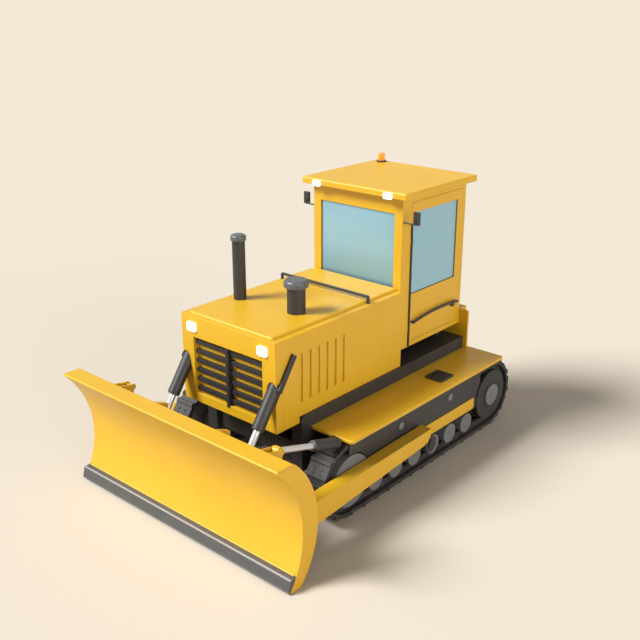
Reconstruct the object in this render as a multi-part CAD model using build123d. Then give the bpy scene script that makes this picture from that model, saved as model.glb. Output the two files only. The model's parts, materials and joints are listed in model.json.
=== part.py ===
"""A crawler bulldozer with a straight blade and an enclosed cab, at full size in millimetres.

The machine faces -Y, its left side is +X and +Z is up. The origin is on the ground, in the
middle of the machine's overall box. Left-hand pieces are drawn and the right-hand ones mirrored.
"""
from build123d import *
import math
import os

# ---------------------------------------------------------------- hood and engine
HOOD_FRONT = -1464.0
HOOD_REAR = 650.0
HOOD_HALF = 706.0
HOOD_TOP = 2048.0
HOOD_BOTTOM = 1050.0
HOOD_WALL = 40.0
NOSE_DEPTH = 100.0
LID_HALF = 628.0
LID_FRONT = -1431.0
LID_TOP = 2079.0
GRILLE_HALF = 517.0
GRILLE_LOW = 1154.0
GRILLE_HIGH = 1809.0
GRILLE_DEPTH = 65.0
SLAT_ROWS = 6
SLAT_HEIGHT = 50.0
LOUVRE_COUNT = 6
LOUVRE_FIRST = -1084.0
LOUVRE_PITCH = 134.8
LOUVRE_LOW = 1279.0
LOUVRE_HIGH = 1837.0
LOUVRE_WIDTH = 42.0
LOUVRE_DEPTH = 14.0
LAMP_X = 529.0
LAMP_Z = 1925.0
LAMP_SIZE = (134.0, 106.0)
STACK = (-479.0, -792.0)
STACK_RADIUS = 72.0
STACK_TOP = 2748.0
CLEANER = (300.0, -712.0)
CLEANER_RADIUS = 100.0
CLEANER_TOP = 2366.0

# ---------------------------------------------------------------- main frame
RAIL_INNER = 589.0
RAIL_OUTER = 736.0
RAIL_FRONT = -1115.0
RAIL_TOP = 1124.0
RAIL_BOTTOM = 480.0
GUARD_FRONT = 1961.0
REAR_CASE_BACK = 2150.0
REAR_CASE_TOP = 700.0
DRAWBAR_PIN_Y = 2340.0
DRAWBAR_PIN_RADIUS = 28.0
REAR_BOLTS = (450.0, 350.0, 630.0)
REAR_BOLT_RADIUS = 13.0

# ---------------------------------------------------------------- cab
CAB_HALF = 662.0
CAB_FRONT = 664.0
CAB_REAR = 1958.0
CAB_BOTTOM = 1298.0
FLOOR_TOP = 1358.0
ROOF_BOTTOM = 3137.0
ROOF_TOP = 3212.0
ROOF_HALF = 775.0
ROOF_FRONT = 563.0
ROOF_REAR = 2027.0
CAB_WALL = 45.0
PANE = 12.0
DOOR_FRONT = 856.0
DOOR_REAR = 1882.0
DOOR_LOW = 1366.0
DOOR_HIGH = 3052.0
DOOR_GAP = 6.0
DOOR_WINDOW = (872.0, 1791.0, 1953.0, 2933.0)
HINGE_X = 672.0
HINGE_Y = 846.0
HINGE_RADIUS = 10.0
HINGE_LOW = 1310.0
HINGE_HIGH = 2813.0
KNUCKLES = ((1500.0, 1580.0), (2560.0, 2640.0))

# ---------------------------------------------------------------- tracks
TRACK_INNER = 930.0
TRACK_OUTER = 1197.0
AXLE_Z = 445.0
IDLER_Y = -871.0
SHOE_COUNT = 36
PITCH = 218.5
PIN_RADIUS = 349.0
SPROCKET_Y = IDLER_Y + (SHOE_COUNT * PITCH - 2 * math.pi * PIN_RADIUS) / 2
LINK_HALF = 38.0
SHOE_FACE = 80.0
GROUSER_TIP = 96.0
LINK_RAILS = ((990.0, 1036.0), (1091.0, 1137.0))
ROLLER_Y = [-424.0 + 363.0 * n for n in range(6)]
ROLLER_Z = 256.0
ROLLER_RADIUS = 121.0
IDLER_RADIUS = 300.0
BEAM_X = (960.0, 1200.0)
BEAM_Y = (-540.0, 1600.0)
BEAM_Z = (400.0, 700.0)
FENDER_OUTER = 1292.0
FENDER_FRONT = -965.0
FENDER_REAR = 2056.0
FENDER_LOW = 934.0
FENDER_TOP = 970.0
SKIRT_FACE = 1212.0

# ---------------------------------------------------------------- blade and its linkage
PIVOT = (488.0, 363.0)
PIVOT_PIN = 42.0
PIVOT_DISC = 106.0
ARM_X = (1232.0, 1382.0)
HEEL_X = (1232.0, 1300.0)
BLADE_HALF = 1625.0
BLADE_TOP = 1367.0
BLADE_FOOT = 31.0
EDGE_TOP = 158.0
END_PLATE = 25.0
END_PLATE_TOP = 1341.0
PLATE_FOOT = 6.0
FACE_TOP = (-2432.85, BLADE_TOP)
FACE_MIDDLE = (-2092.0, 730.0)
FACE_FOOT = (-2250.0, BLADE_FOOT)
SKIN = 32.0
LIFT_X = 648.0
LIFT_TOP = (-1404.3, 1567.4)
LIFT_BOTTOM = (-1679.0, 1170.0)
LIFT_TRUNNION = 45.0
LIFT_PIN = 18.0
LIFT_EYE = 352.0
LIFT_BARREL = 68.0
LIFT_ROD = 37.0
LIFT_RELIEF = LIFT_BARREL + 6
STRAP_TOP = (-1207.0, 1856.0)
STRAP_HALF = 32.0
STRAP_X = (721.0, 737.0)
STRUT_X = 1130.0
STRUT_ANCHOR = (-1030.0, 933.0)
STRUT_EYE = (-1895.0, 1195.0)
STRUT_BARREL = 59.0
STRUT_ROD = 31.0
EYE_BORE = 33.0
EYE_PIN = 19.0
RUNNING_CLEARANCE = 0.1


def block(x, y, z, edge=0.0):
    """A box between pairs of limits, its edges rounded by edge."""
    size = (x[1] - x[0], y[1] - y[0], z[1] - z[0])
    centre = ((x[0] + x[1]) / 2, (y[0] + y[1]) / 2, (z[0] + z[1]) / 2)
    solid = Pos(*centre) * Box(*size)
    return fillet(solid.edges(), edge) if edge else solid


def polygon(*points):
    return make_face(Polyline(*points, close=True))


def across(sketch, x):
    """Extrude a side view, drawn as (Y, Z), between two X limits."""
    return extrude(Plane(origin=(x[0], 0, 0), x_dir=(0, 1, 0), z_dir=(1, 0, 0)) * sketch, amount=x[1] - x[0])


def along(sketch, y):
    """Extrude a front view, drawn as (X, Z), between two Y limits."""
    return extrude(Plane(origin=(0, y[1], 0), x_dir=(1, 0, 0), z_dir=(0, -1, 0)) * sketch, amount=y[1] - y[0])


def upward(sketch, z):
    """Extrude a plan, drawn as (X, Y), between two Z limits."""
    return extrude(Pos(0, 0, z[0]) * sketch, amount=z[1] - z[0])


def disc(y, z, radius, x):
    """A cylinder on a crosswise axis."""
    return across(Pos(y, z) * Circle(radius), x)


def link(first, last, radius_first, radius_last):
    """A side view of two round ends joined by their tangents."""
    ends = (Pos(*first) * Circle(radius_first)).edges() + (Pos(*last) * Circle(radius_last)).edges()
    return make_face(make_hull(ends))


def bar(x, first, last, radius):
    """A round bar at one X between two side-view points."""
    start = Vector(x, *first)
    run = Vector(x, *last) - start
    return extrude(Plane(origin=start, z_dir=run) * Circle(radius), amount=run.length)


def strip(first, last, half):
    """A side view of a flat bar between two points, with square ends."""
    run = Vector(*last) - Vector(*first)
    turn = math.degrees(math.atan2(run.Y, run.X))
    middle = (Vector(*first) + Vector(*last)) / 2
    return Pos(middle.X, middle.Y) * Rectangle(run.length, 2 * half, rotation=turn)


def mirrored(solid):
    return mirror(solid, about=Plane.YZ)


def both(solid):
    return [solid, mirrored(solid)]


def point_on(first, last, distance):
    """The point a distance from first towards last, in side view."""
    run = math.dist(first, last)
    return tuple(a + (b - a) * distance / run for a, b in zip(first, last))


def save(name, *solids):
    export_step(Compound(label=name, children=list(solids)), f"parts/{name}.step")


# ================================================================ main frame
def frame_rails():
    side = polygon((RAIL_FRONT, RAIL_BOTTOM), (1520, RAIL_BOTTOM), (1660, 290), (REAR_CASE_BACK, 290),
                   (REAR_CASE_BACK, REAR_CASE_TOP), (GUARD_FRONT, REAR_CASE_TOP), (GUARD_FRONT, RAIL_TOP),
                   (RAIL_FRONT, RAIL_TOP))
    nose = side.vertices().group_by(Axis.X)[0].sort_by(Axis.Y)[-1]
    side = fillet(nose, 60)
    return both(across(side, (RAIL_INNER, RAIL_OUTER)))


def frame_crossmembers():
    inside = (-RAIL_INNER, RAIL_INNER)
    front = block(inside, (-1060, -900), (560, 760))
    engine_mount = block(inside, (150, 270), (680, 760))
    belly = block(inside, (-850, 1660), (RAIL_BOTTOM, 510))
    deck = block(inside, (640, GUARD_FRONT), (1084, RAIL_TOP))
    rear_case = block(inside, (1660, REAR_CASE_BACK), (300, REAR_CASE_TOP))
    for z in REAR_BOLTS[1:]:
        for x in (-REAR_BOLTS[0], REAR_BOLTS[0]):
            rear_case -= along(Pos(x, z) * Circle(REAR_BOLT_RADIUS), (REAR_CASE_BACK - 50, REAR_CASE_BACK))
    equaliser = block((-BEAM_X[0], BEAM_X[0]), (-330, -210), (400, RAIL_BOTTOM))
    shaft = disc(1250, 420, 60, (-BEAM_X[0], BEAM_X[0]))
    for saddle in both(block((600, 720), (1180, 1320), (420, RAIL_BOTTOM))):
        shaft += saddle
    mounts = [Pos(x, y, (RAIL_TOP + CAB_BOTTOM) / 2) * Cylinder(70, CAB_BOTTOM - RAIL_TOP)
              for x in (-390, 390) for y in (780, 1840)]
    return [front, engine_mount, belly, deck, rear_case, equaliser, shaft, *mounts]


def engine_block():
    return block((-330, 330), (-950, 270), (760, 1760))


def final_drives():
    return both(disc(SPROCKET_Y, AXLE_Z, 190, (RAIL_OUTER, 1030)))


def drawbar():
    tongue = block((-150, 150), (REAR_CASE_BACK, 2180), (330, 500)) + block((-65, 65), (2180, 2400), (380, 450))
    return tongue - Pos(0, DRAWBAR_PIN_Y, 415) * Cylinder(DRAWBAR_PIN_RADIUS, 100)


# ================================================================ hood
def lift_trunnion():
    return point_on(LIFT_TOP, LIFT_BOTTOM, LIFT_TRUNNION)


def barrel_reliefs():
    """The room a left lift barrel takes in the hood at rest and at both ends of its swing."""
    trunnion = Vector(LIFT_X, *lift_trunnion())
    room = bar(LIFT_X, point_on(LIFT_TOP, LIFT_BOTTOM, -8), LIFT_BOTTOM, LIFT_RELIEF)
    return [room.rotate(Axis(trunnion, (-1, 0, 0)), angle) for angle in (0, -3.0, 10.8)]


def hood_front():
    nose = block((-HOOD_HALF, HOOD_HALF), (HOOD_FRONT, HOOD_FRONT + NOSE_DEPTH), (HOOD_BOTTOM, HOOD_TOP))
    nose = fillet(nose.edges().filter_by(Axis.Z).group_by(Axis.Y)[0], 12)
    nose -= block((-GRILLE_HALF, GRILLE_HALF), (HOOD_FRONT, HOOD_FRONT + GRILLE_DEPTH), (GRILLE_LOW, GRILLE_HIGH))
    bearing = disc(*lift_trunnion(), LIFT_PIN + RUNNING_CLEARANCE, (LIFT_X - 103, LIFT_X))
    for cut in (*barrel_reliefs(), bearing):
        nose -= cut
        nose -= mirrored(cut)
    return nose.solids().sort_by(SortBy.VOLUME)[-1]


def hood_side():
    front = HOOD_FRONT + NOSE_DEPTH
    step = RAIL_FRONT - 2
    outline = polygon((front, HOOD_BOTTOM), (step, HOOD_BOTTOM), (step, RAIL_TOP), (HOOD_REAR, RAIL_TOP),
                      (HOOD_REAR, HOOD_TOP), (front, HOOD_TOP))
    side = across(outline, (HOOD_HALF - HOOD_WALL, HOOD_HALF))
    middle = (LOUVRE_LOW + LOUVRE_HIGH) / 2
    for n in range(LOUVRE_COUNT):
        slot = SlotOverall(LOUVRE_HIGH - LOUVRE_LOW, LOUVRE_WIDTH, rotation=90)
        place = Pos(LOUVRE_FIRST + n * LOUVRE_PITCH, middle)
        side -= across(place * slot, (HOOD_HALF - LOUVRE_DEPTH, HOOD_HALF))
    for cut in barrel_reliefs():
        side -= cut
    return side


def hood_lid():
    inner = HOOD_HALF - HOOD_WALL
    base = block((-inner, inner), (HOOD_FRONT + NOSE_DEPTH, HOOD_REAR), (HOOD_TOP - 30, HOOD_TOP))
    raised = block((-LID_HALF, LID_HALF), (LID_FRONT, HOOD_REAR), (HOOD_TOP, LID_TOP))
    raised = fillet(raised.edges().filter_by(Axis.Z).group_by(Axis.Y)[0], 30)
    raised = fillet(raised.faces().sort_by(Axis.Z)[-1].edges(), 24)
    return base + raised


def grille():
    rows = (GRILLE_HIGH - GRILLE_LOW) / SLAT_ROWS
    bars = block((-20, 20), (HOOD_FRONT, HOOD_FRONT + GRILLE_DEPTH), (GRILLE_LOW, GRILLE_HIGH))
    bars += block((-20, 20), (HOOD_FRONT - 8, HOOD_FRONT), (GRILLE_LOW - 20, GRILLE_HIGH))
    for n in range(SLAT_ROWS):
        slat = SlotOverall(2 * GRILLE_HALF - 16, SLAT_HEIGHT)
        place = Pos(0, GRILLE_LOW + (n + 0.5) * rows)
        bars += along(place * slat, (HOOD_FRONT + 24, HOOD_FRONT + GRILLE_DEPTH - 8))
    return bars


def headlights():
    lens = Pos(LAMP_X, LAMP_Z) * RectangleRounded(*LAMP_SIZE, 24)
    lamp = along(lens, (HOOD_FRONT - 24, HOOD_FRONT))
    return both(fillet(lamp.faces().sort_by(Axis.Y)[0].edges(), 8))


def exhaust_stack():
    return Pos(*STACK, (LID_TOP + STACK_TOP) / 2) * Cylinder(STACK_RADIUS, STACK_TOP - LID_TOP)


def precleaner():
    return Pos(*CLEANER, (LID_TOP + CLEANER_TOP) / 2) * Cylinder(CLEANER_RADIUS, CLEANER_TOP - LID_TOP)


def stack_caps():
    # centre, underside, radius, height, rounding of the crown
    table = ((STACK, STACK_TOP, 88, 70, 34), (CLEANER, CLEANER_TOP, 135, 85, 38))
    caps = []
    for centre, low, radius, height, crown in table:
        cap = Pos(*centre, low + height / 2) * Cylinder(radius, height)
        cap = fillet(cap.faces().sort_by(Axis.Z)[-1].edges(), crown)
        caps.append(fillet(cap.faces().sort_by(Axis.Z)[0].edges(), 12))
    return caps


def hood_rail():
    half, low, high, thick = 639, HOOD_TOP, 2115, 26
    outline = polygon((-half - thick, low), (-half - thick, high + thick), (half + thick, high + thick),
                      (half + thick, low), (half, low), (half, high), (-half, high), (-half, low))
    rail = along(outline, (63, 63 + thick))
    return fillet(rail.edges().filter_by(Axis.Y).group_by(Axis.Z)[-1], 20)


def lift_brackets():
    """The outer straps that carry the barrels' pins and stand off the hood's sides."""
    trunnion = lift_trunnion()
    start = point_on(trunnion, STRAP_TOP, 105)
    view = strip(trunnion, STRAP_TOP, STRAP_HALF) + Pos(*trunnion) * Circle(STRAP_HALF)
    strap = across(view, STRAP_X) + across(strip(start, STRAP_TOP, STRAP_HALF), (HOOD_HALF, STRAP_X[0]))
    return both(strap - disc(*trunnion, LIFT_PIN + RUNNING_CLEARANCE, STRAP_X))


# ================================================================ cab
def cab_floor():
    return block((-CAB_HALF, CAB_HALF), (CAB_FRONT, CAB_REAR), (CAB_BOTTOM, FLOOR_TOP))


def cab_side():
    outer = block((CAB_HALF - CAB_WALL, CAB_HALF), (CAB_FRONT, CAB_REAR), (FLOOR_TOP, ROOF_BOTTOM))
    doorway = block((CAB_HALF - CAB_WALL, CAB_HALF), (DOOR_FRONT - DOOR_GAP, DOOR_REAR + DOOR_GAP),
                    (FLOOR_TOP, DOOR_HIGH + DOOR_GAP))
    return outer - doorway


def end_wall(y, window):
    """A cab end wall between the side walls; window is half width, low, high."""
    inner = CAB_HALF - CAB_WALL
    wall = block((-inner, inner), (y, y + CAB_WALL), (FLOOR_TOP, ROOF_BOTTOM))
    return wall - block((-window[0], window[0]), (y, y + CAB_WALL), (window[1], window[2]))


WINDSCREEN = (552.0, 2043.0, 2940.0)
REAR_WINDOW = (500.0, 2000.0, 2900.0)


def end_pane(y, window):
    return block((-window[0], window[0]), (y, y + PANE), (window[1], window[2]))


def cab_roof():
    slab = block((-ROOF_HALF, ROOF_HALF), (ROOF_FRONT, ROOF_REAR), (ROOF_BOTTOM, ROOF_TOP))
    slab = fillet(slab.edges().filter_by(Axis.Z), 30)
    return fillet(slab.faces().sort_by(Axis.Z)[-1].edges(), 24)


def roof_lamps():
    lens = Pos(526, 3160) * RectangleRounded(118, 70, 18)
    return both(along(lens, (ROOF_FRONT - 22, ROOF_FRONT)))


def beacon():
    base = Pos(-615, 1924, ROOF_TOP + 10) * Cylinder(62, 20)
    lens = Pos(-615, 1924, ROOF_TOP + 20 + 46) * Cylinder(46, 92)
    return base, fillet(lens.faces().sort_by(Axis.Z)[-1].edges(), 14)


def mirrors():
    arm = bar(0, (0, 0), (0, 150), 9)
    arm = Pos(CAB_HALF, 690, 2852) * Rot(0, 90, 0) * arm
    stem = Pos(CAB_HALF + 150, 690, 2880) * Cylinder(9, 74)
    head = block((778, 864), (696, 730), (2842, 2992), 10)
    return both(arm + stem + head)


def door():
    panel = block((CAB_HALF - CAB_WALL, CAB_HALF), (DOOR_FRONT, DOOR_REAR), (DOOR_LOW, DOOR_HIGH))
    y_low, y_high, z_low, z_high = DOOR_WINDOW
    return panel - block((CAB_HALF - CAB_WALL, CAB_HALF), (y_low, y_high), (z_low, z_high))


def door_glass():
    y_low, y_high, z_low, z_high = DOOR_WINDOW
    return block((CAB_HALF - 28, CAB_HALF - 28 + PANE), (y_low, y_high), (z_low, z_high))


def door_handle():
    """The curved grip with its latch, and the door's half of the hinge."""
    half = 14
    top = ThreePointArc((884, 1604 + half), (1363, 1650 + half), (1845, 1627 + half))
    low = ThreePointArc((1845, 1627 - half), (1363, 1650 - half), (884, 1604 - half))
    ends = [Line(top @ 1, low @ 0), Line(low @ 1, top @ 0)]
    grip = across(make_face([top, ends[0], low, ends[1]]), (CAB_HALF + 30, CAB_HALF + 48))
    for y, z in ((900, 1605), (1825, 1628)):
        grip += disc(y, z, half, (CAB_HALF, CAB_HALF + 48))
    latch = across(Pos(1770, 1600) * RectangleRounded(70, 52, 10), (CAB_HALF, CAB_HALF + 26))
    knuckles = []
    for low, high in KNUCKLES:
        knuckle = upward(Pos(HINGE_X, HINGE_Y) * Circle(HINGE_RADIUS), (low, high))
        knuckles.append(knuckle + block((CAB_HALF, HINGE_X), (HINGE_Y, DOOR_FRONT + 12), (low, high)))
    return [grip, latch, *knuckles]


def door_hinges():
    post = upward(Pos(HINGE_X, HINGE_Y) * Circle(HINGE_RADIUS), (HINGE_LOW, HINGE_HIGH))
    post += block((CAB_HALF, HINGE_X), (HINGE_Y - 14, HINGE_Y), (HINGE_LOW, HINGE_HIGH))
    for low, high in KNUCKLES:
        post -= block((CAB_HALF, HINGE_X + 20), (HINGE_Y - 20, HINGE_Y + 20), (low - 1, high + 1))
    return [side for piece in post.solids() for side in both(piece)]


def seat():
    cushion = block((-240, 240), (1290, 1750), (1700, 1820), 30)
    back = across(polygon((1690, 1822), (1790, 1822), (1850, 2480), (1750, 2480)), (-230, 230))
    return [cushion, fillet(back.edges(), 30)]


def cab_controls():
    pedestal = block((-190, 190), (1360, 1720), (FLOOR_TOP, 1700))
    dash = across(polygon((709, 1700), (860, 1700), (820, 2000), (709, 2030)), (-420, 420))
    solids = [pedestal, dash]
    for side in (-1, 1):
        console = block((300, 420), (1260, 1720), (FLOOR_TOP, 1880), 12)
        lever = Pos(360, 1330, 1940) * Cylinder(12, 130) + Pos(360, 1330, 2015) * Sphere(26)
        piece = console + lever
        solids.append(piece if side > 0 else mirrored(piece))
    return solids


def rear_guard():
    upper = block((-790, 790), (GUARD_FRONT, GUARD_FRONT + 30), (FENDER_TOP + 4, 1478))
    upper = fillet(upper.edges().filter_by(Axis.Y).group_by(Axis.Z)[-1], 30)
    lower = block((-RAIL_OUTER, RAIL_OUTER), (GUARD_FRONT, GUARD_FRONT + 30), (REAR_CASE_TOP, FENDER_TOP + 4))
    return upper + lower


def fuel_tank():
    tank = block((-600, 600), (GUARD_FRONT + 30, 2270), (REAR_CASE_TOP, 1440))
    back = tank.faces().sort_by(Axis.Y)[-1]
    return fillet(back.edges(), 60)


# ================================================================ undercarriage
def fender():
    plan = Pos((RAIL_OUTER + FENDER_OUTER) / 2, (FENDER_FRONT + FENDER_REAR) / 2)
    plate = upward(plan * Rectangle(FENDER_OUTER - RAIL_OUTER, FENDER_REAR - FENDER_FRONT), (FENDER_LOW, FENDER_TOP))
    plate = fillet(plate.edges().filter_by(Axis.Z).group_by(Axis.X)[-1], 40)
    return fillet(plate.faces().sort_by(Axis.Z)[-1].edges().filter_by(lambda e: e.center().X > RAIL_OUTER + 1), 14)


def step_pads():
    return both(upward(Pos(1038, 990) * RectangleRounded(245, 280, 30), (FENDER_TOP, FENDER_TOP + 14)))


def track_frame():
    beam = block(BEAM_X, BEAM_Y, BEAM_Z)
    skirt = polygon((-905, FENDER_LOW), (1650, FENDER_LOW), (1650, 720), (1570, 566), (-560, 566), (-905, 700))
    skirt -= Pos(IDLER_Y, AXLE_Z) * Circle(IDLER_RADIUS + 14)
    skirt -= Pos(SPROCKET_Y, AXLE_Z) * Circle(346)
    frame = beam + across(skirt, (BEAM_X[1], SKIRT_FACE))
    frame += block((1120, BEAM_X[1]), (PIVOT[0] - 60, PIVOT[0] + 60), (PIVOT[1], BEAM_Z[0]))
    frame += disc(*PIVOT, 60, (1120, 1228)) + disc(*PIVOT, PIVOT_PIN, (1228, HEEL_X[1] + 2))
    frame += disc(*PIVOT, 54, (HEEL_X[1] + 2, HEEL_X[1] + 12))
    yoke = block((950, 978), (-900, BEAM_Y[0]), (400, 490)) + block((950, BEAM_X[0]), (-560, -500), (400, 490))
    return frame + yoke


def track_guard():
    middle = ((-500 + 1512) / 2, (420 + 566) / 2)
    strip = Pos(*middle) * RectangleRounded(2012, 146, 24) - Pos(*PIVOT) * Circle(64)
    return across(strip, (BEAM_X[1], 1224))


def wheels():
    """The rollers, the idler and the sprocket's hub of one side."""
    solids = [disc(y, ROLLER_Z, ROLLER_RADIUS, (988, 1204)) for y in ROLLER_Y]
    idler = disc(IDLER_Y, AXLE_Z, PIN_RADIUS - LINK_HALF - 1, (1040, 1087))
    idler += disc(IDLER_Y, AXLE_Z, IDLER_RADIUS, (1087, 1216)) + disc(IDLER_Y, AXLE_Z, 90, (978, 1040))
    hub = disc(SPROCKET_Y, AXLE_Z, 140, (1190, 1216))
    bosses = [disc(y, 760, 43, (SKIRT_FACE, SKIRT_FACE + 10)) for y in (-5, 975)]
    return [*solids, idler, hub, *bosses]


def toothed(tip, root, count):
    """A wheel outline with straight-sided teeth."""
    points = []
    for n in range(count):
        for part, radius in ((-0.25, root), (-0.12, tip), (0.12, tip), (0.25, root)):
            turn = 2 * math.pi * (n + part) / count
            points.append((radius * math.cos(turn), radius * math.sin(turn)))
    return polygon(*points)


def sprocket():
    centre = Pos(SPROCKET_Y, AXLE_Z)
    teeth = across(centre * toothed(346, 300, 20), (1042, 1085))
    dish = disc(SPROCKET_Y, AXLE_Z, 322, (1142, 1190))
    web = disc(SPROCKET_Y, AXLE_Z, 200, (1030, 1142))
    return teeth + web + dish


def loop_point(distance):
    """Place and heading on the pin line, counted back along the ground run from the idler."""
    straight = SPROCKET_Y - IDLER_Y
    bend = math.pi * PIN_RADIUS
    distance %= 2 * (straight + bend)
    if distance < straight:
        return IDLER_Y + distance, AXLE_Z - PIN_RADIUS, 0.0
    if distance < straight + bend:
        turn = (distance - straight) / PIN_RADIUS
        return SPROCKET_Y + PIN_RADIUS * math.sin(turn), AXLE_Z - PIN_RADIUS * math.cos(turn), turn
    if distance < 2 * straight + bend:
        return SPROCKET_Y - (distance - straight - bend), AXLE_Z + PIN_RADIUS, math.pi
    turn = math.pi + (distance - 2 * straight - bend) / PIN_RADIUS
    return IDLER_Y + PIN_RADIUS * math.sin(turn), AXLE_Z - PIN_RADIUS * math.cos(turn), turn


def shoe_outline():
    """Outer outline of all the shoes; a shoe's corners are (along, outward) from its pin line."""
    corners = ((-105, 50), (-105, SHOE_FACE), (-96, SHOE_FACE), (-90, GROUSER_TIP), (-52, GROUSER_TIP),
               (-46, SHOE_FACE), (105, SHOE_FACE), (105, 50))
    points = []
    for n in range(SHOE_COUNT):
        y, z, turn = loop_point((n + 0.5) * PITCH)
        for run, out in corners:
            points.append((y + run * math.cos(turn) + out * math.sin(turn),
                           z + run * math.sin(turn) - out * math.cos(turn)))
    return polygon(*points)


def stadium(radius):
    """The loop's outline at one radius about both wheels."""
    middle = Pos((IDLER_Y + SPROCKET_Y) / 2, AXLE_Z)
    return middle * SlotCenterToCenter(SPROCKET_Y - IDLER_Y, 2 * radius)


def track():
    loop = across(shoe_outline() - stadium(PIN_RADIUS + LINK_HALF), (TRACK_INNER, TRACK_OUTER))
    band = stadium(PIN_RADIUS + LINK_HALF) - stadium(PIN_RADIUS - LINK_HALF)
    for limits in LINK_RAILS:
        loop += across(band, limits)
    return loop


# ================================================================ blade
def circle_through(a, b, c):
    """Centre and radius of the circle through three side-view points."""
    arc = ThreePointArc(a, b, c)
    return (arc.arc_center.X, arc.arc_center.Y), arc.radius


FACE_CENTRE, FACE_RADIUS = circle_through(FACE_TOP, FACE_MIDDLE, FACE_FOOT)


def face_point(z, behind=0.0):
    """A side-view point on the moldboard's curve, or behind it, at one height."""
    rise = z - FACE_CENTRE[1]
    return FACE_CENTRE[0] + math.sqrt((FACE_RADIUS + behind) ** 2 - rise ** 2), z


def face_arc(high, low, behind=0.0):
    middle = (high + low) / 2
    return ThreePointArc(face_point(high, behind), face_point(middle, behind), face_point(low, behind))


def closed(*curves):
    """A face from curves and points in order, with straight lines across their gaps."""
    edges = []
    for curve, after in zip(curves, curves[1:] + curves[:1]):
        end = curve @ 1 if isinstance(curve, (Edge, Wire)) else Vector(*curve)
        start = after @ 0 if isinstance(after, (Edge, Wire)) else Vector(*after)
        if isinstance(curve, (Edge, Wire)):
            edges.append(curve)
        if (start - end).length > 1e-6:
            edges.append(Line(end, start))
    return make_face(edges)


def back_plate(high, low, *tips):
    """A side view of a plate on the moldboard's back, from height high to low, out to its tips."""
    return closed(face_arc(high, low, SKIN), *tips)


def blade():
    front = face_arc(BLADE_TOP, BLADE_FOOT)
    body = closed(front, (-2130, BLADE_FOOT), (-2060, 250), face_arc(1265, 250, SKIN).reversed(),
                  (-2195, 1265), (-2195, BLADE_TOP))
    solid = across(body, (-BLADE_HALF, BLADE_HALF))
    solid = fillet(solid.faces().sort_by(Axis.Z)[-1].edges(), 14)
    end = block((BLADE_HALF - END_PLATE, BLADE_HALF), (-2500, -2000), (0, END_PLATE_TOP))
    return solid - end - mirrored(end)


def end_plate():
    back = ThreePointArc((-2113, PLATE_FOOT), (-1872, 650), (-2195, BLADE_TOP))
    side = closed(face_arc(BLADE_TOP, BLADE_FOOT), (-2253, PLATE_FOOT), back)
    plate = across(side, (BLADE_HALF - END_PLATE, BLADE_HALF))
    return plate - block((1500, 1700), (-2500, -2000), (END_PLATE_TOP, 1400))


def blade_plates():
    """End plates, stiffening ribs and the paired plates that hold the cylinders' eye pins."""
    rib = across(back_plate(1258, 700, (-1985, 700), (-1917, 1204), (-2060, 1258)), (447, 507))
    strut_y, strut_z = STRUT_EYE
    strut = back_plate(1258, 640, (-1965, 660), (strut_y + 6, strut_z - 36), (strut_y - 14, strut_z + 32),
                       (-2060, 1258)) + Pos(*STRUT_EYE) * Circle(36)
    eye = point_on(LIFT_BOTTOM, LIFT_TOP, -LIFT_EYE)
    lift = back_plate(1020, 560, (eye[0] + 6, eye[1] - 49), (eye[0] - 30, eye[1] + 40)) + Pos(*eye) * Circle(48)
    plates = [end_plate(), rib]
    # side view, its X, the pin's place, and the inner and outer faces of the pair about that X
    for view, x, place, near, far in ((strut, STRUT_X, STRUT_EYE, 42, 60), (lift, LIFT_X, eye, 74, 92)):
        pair = across(view, (x - far, x - near)) + across(view, (x + near, x + far))
        plates.append(pair + disc(*place, EYE_PIN, (x - near, x + near)))
    return [side for plate in plates for side in both(plate)]


def cutting_edge():
    low, high = BLADE_FOOT, EDGE_TOP
    plate = closed(face_arc(high, low), (-2296, low), (-2290, low + 8), (-2264, high - 10))
    return across(plate, (-BLADE_HALF + 5, BLADE_HALF - 5))


def push_arm():
    outline = closed(face_arc(597, 307, SKIN), (217, 471), (291, 492), (350, 560), (357, 638))
    return across(outline, ARM_X) - arm_heel()


def arm_heel():
    """The round end that turns on the track frame's pin, and the tongue that joins it to the arm."""
    return across(link(PIVOT, (250, 560), 58, 46), HEEL_X) + disc(*PIVOT, PIVOT_DISC, HEEL_X)


def bored_heel():
    return arm_heel() - disc(*PIVOT, PIVOT_PIN + RUNNING_CLEARANCE, HEEL_X)


# ================================================================ cylinders
def lift_barrel():
    trunnion = lift_trunnion()
    tube = bar(LIFT_X, LIFT_TOP, LIFT_BOTTOM, LIFT_BARREL)
    tube = fillet(tube.faces().sort_by(Axis.Z)[0].edges(), 5)
    tube += disc(*trunnion, LIFT_PIN, (LIFT_X - 100, STRAP_X[1] + 3))
    return tube - bar(LIFT_X, point_on(LIFT_TOP, LIFT_BOTTOM, 16), point_on(LIFT_BOTTOM, LIFT_TOP, -4),
                      LIFT_ROD + RUNNING_CLEARANCE)


def eyed_rod(x, eye, end, radius):
    """A rod from its eye to its end inside the barrel."""
    rod = bar(x, eye, end, radius) + disc(*eye, EYE_BORE + 13, (x - radius - 5, x + radius + 5))
    return rod - disc(*eye, EYE_BORE, (x - 60, x + 60))


def lift_rod():
    eye = point_on(LIFT_BOTTOM, LIFT_TOP, -LIFT_EYE)
    return eyed_rod(LIFT_X, eye, point_on(LIFT_BOTTOM, LIFT_TOP, 145), LIFT_ROD)


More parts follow.
